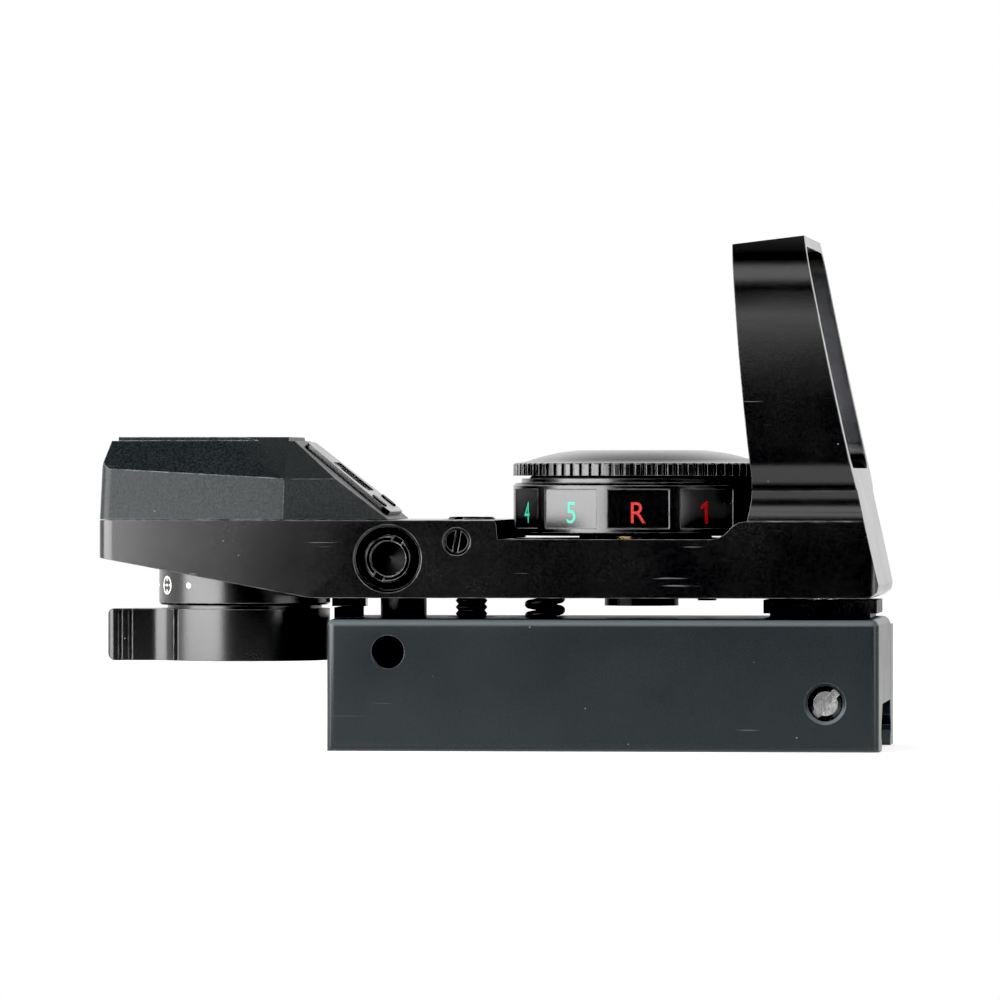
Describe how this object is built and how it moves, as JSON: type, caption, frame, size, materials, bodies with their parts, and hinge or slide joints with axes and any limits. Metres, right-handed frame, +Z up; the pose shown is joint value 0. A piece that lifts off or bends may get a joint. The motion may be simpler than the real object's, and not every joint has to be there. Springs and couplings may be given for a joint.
{
  "type": "red dot finder",
  "caption": "Open reflex red dot finder with a hooded lens, brightness dial, reticle selector and a two-jaw rail clamp with fine aim screws.",
  "frame": {"origin": "on the rail seat, on the rail's centreline, midway along the base", "axes": "+X is the way the user looks, +Y is the user's left, +Z is up from the rail"},
  "size_m": [0.0848, 0.038, 0.0549],
  "materials": {
    "slate_coat": "matt dark slate-grey coating",
    "black_coat": "satin black coating",
    "cover_coat": "grained dark coating on the cover",
    "dark_spring": "blackened spring wire",
    "steel": "turned bright steel",
    "dark_steel": "blackened steel",
    "spring_steel": "spring wire",
    "black_screw": "blackened steel screws",
    "brass": "turned brass",
    "nylon": "off-white nylon",
    "coated_glass": "glass with a faint reddish reflecting film",
    "clear_glass": "clear glass",
    "rubber": "black rubber",
    "black_plastic": "black moulded plastic",
    "circuit_board": "green circuit board",
    "led_resin": "clear emitter resin",
    "wire_red": "insulated wire",
    "cell_steel": "nickel-plated steel can"
  },
  "bodies": {
    "mount_base": {"base_block": "slate_coat", "windage_post": "dark_steel", "post_pin": "dark_steel", "pin_sleeves": "dark_steel", "pivot_pin": "steel", "lift_spring": "dark_spring"},
    "clamp_jaw": {"rail_jaw": "slate_coat"},
    "front_clamp": {"front_clamp_screw": "steel"},
    "rear_clamp": {"rear_clamp_screw": "steel"},
    "tilt_block": {"pivot_block": "dark_steel"},
    "sight_head": {"yaw_pin": "steel", "plunger_spring": "spring_steel", "plunger_plug": "black_screw", "lock_slug": "nylon", "main_housing": "black_coat", "lens_front": "coated_glass", "lens_rear": "clear_glass", "lens_gasket": "rubber", "rear_cover": "cover_coat", "cover_screws": "black_screw", "window_bezel": "black_coat", "bezel_screws": "black_screw", "emitter_window": "clear_glass", "led_bracket": "black_plastic", "led_board": "circuit_board", "led_chip": "led_resin", "led_wires": "wire_red", "selector_collar": "black_coat", "selector_detent_ball": "steel", "selector_detent_spring": "spring_steel", "dial_board": "circuit_board", "dial_detent_ball": "steel", "dial_detent_spring": "spring_steel", "dial_detent_plug": "black_screw"},
    "elevation_adjuster": {"elevation_screw": "black_screw"},
    "elevation_follower": {"elevation_nut": "brass"},
    "windage_adjuster": {"windage_screw": "black_screw"},
    "windage_drive": {"windage_pusher": "brass"},
    "windage_return": {"windage_plunger": "steel"},
    "elevation_lock": {"lock_screw": "black_screw"},
    "reticle_selector": {"selector_lever": "black_coat", "selector_shaft": "steel", "selector_screw": "black_screw", "reticle_drum": "brass"},
    "brightness_dial": {"dial_drum": "black_coat", "dial_spindle": "black_screw", "dial_wiper": "brass", "battery_contact": "brass"},
    "battery_cover": {"battery_cap": "black_coat", "cap_seal": "rubber"},
    "battery": {"coin_cell": "cell_steel"}
  },
  "joints": [
    {"name": "clamp_turn_front", "type": "hinge", "parent": "clamp_jaw", "child": "front_clamp", "pos_m": [0.0238, 0, 0.00017], "axis": [0, 1, 0], "range_deg": [0, 1810]},
    {"name": "clamp_turn_rear", "type": "hinge", "parent": "clamp_jaw", "child": "rear_clamp", "pos_m": [-0.01624, 0, 0.00017], "axis": [0, 1, 0], "range_deg": [0, 1810]},
    {"name": "jaw_slide", "type": "slide", "parent": "mount_base", "child": "clamp_jaw", "axis": [0, 1, 0], "range_m": [0, 0.0035]},
    {"name": "elevation_tilt", "type": "hinge", "parent": "mount_base", "child": "tilt_block", "pos_m": [0.0227, 0, 0.006], "axis": [0, 1, 0], "range_deg": [-0.75, 0.75], "deforming": ["lift_spring"]},
    {"name": "windage_yaw", "type": "hinge", "parent": "tilt_block", "child": "sight_head", "pos_m": [0.0227, 0, 0.006], "axis": [0, 0, 1], "range_deg": [-0.75, 0.75]},
    {"name": "elevation_turn", "type": "hinge", "parent": "sight_head", "child": "elevation_adjuster", "pos_m": [-0.0155, 0, 0.018], "axis": [0, 0, 1], "range_deg": [-262, 262]},
    {"name": "elevation_nut_slide", "type": "slide", "parent": "mount_base", "child": "elevation_follower", "axis": [0, 1, 0], "range_m": [-0.00052, 0.00052]},
    {"name": "windage_turn", "type": "hinge", "parent": "sight_head", "child": "windage_adjuster", "pos_m": [-0.0229, 0, 0.01555], "axis": [0, -1, 0], "range_deg": [-312, 312]},
    {"name": "windage_push", "type": "slide", "parent": "sight_head", "child": "windage_drive", "axis": [0, 1, 0], "range_m": [-0.00062, 0.00062]},
    {"name": "windage_spring_back", "type": "slide", "parent": "sight_head", "child": "windage_return", "axis": [0, 1, 0], "range_m": [-0.00062, 0.00062], "deforming": ["plunger_spring"]},
    {"name": "lock_turn", "type": "hinge", "parent": "sight_head", "child": "elevation_lock", "pos_m": [-0.0155, 0, 0.0174], "axis": [0, -1, 0], "range_deg": [0, 720]},
    {"name": "reticle_turn", "type": "hinge", "parent": "sight_head", "child": "reticle_selector", "pos_m": [-0.0403, 0, 0.007], "axis": [0, 0, 1], "range_deg": [-24, 48]},
    {"name": "brightness_turn", "type": "hinge", "parent": "sight_head", "child": "brightness_dial", "pos_m": [0.003, 0, 0.02], "axis": [0, 0, 1], "range_deg": [-163.6, 163.6]},
    {"name": "battery_cap_off", "type": "slide", "parent": "brightness_dial", "child": "battery_cover", "axis": [0, 0, 1], "range_m": [0, 0.012]},
    {"name": "battery_lift", "type": "slide", "parent": "brightness_dial", "child": "battery", "axis": [0, 0, 1], "range_m": [0, 0.0075]}
  ],
  "couplings": [
    {"joint": "clamp_turn_front", "follows": "jaw_slide", "rad_per_m": 8976},
    {"joint": "clamp_turn_rear", "follows": "jaw_slide", "rad_per_m": 8976},
    {"joint": "elevation_turn", "follows": "elevation_tilt", "ratio": 342.88},
    {"joint": "elevation_nut_slide", "follows": "windage_yaw", "m_per_rad": -0.0382},
    {"joint": "windage_turn", "follows": "windage_yaw", "ratio": 409.31},
    {"joint": "windage_push", "follows": "windage_yaw", "m_per_rad": 0.0456},
    {"joint": "windage_spring_back", "follows": "windage_yaw", "m_per_rad": 0.0456},
    {"joint": "battery_lift", "follows": "battery_cap_off", "ratio": 0.6}
  ]
}
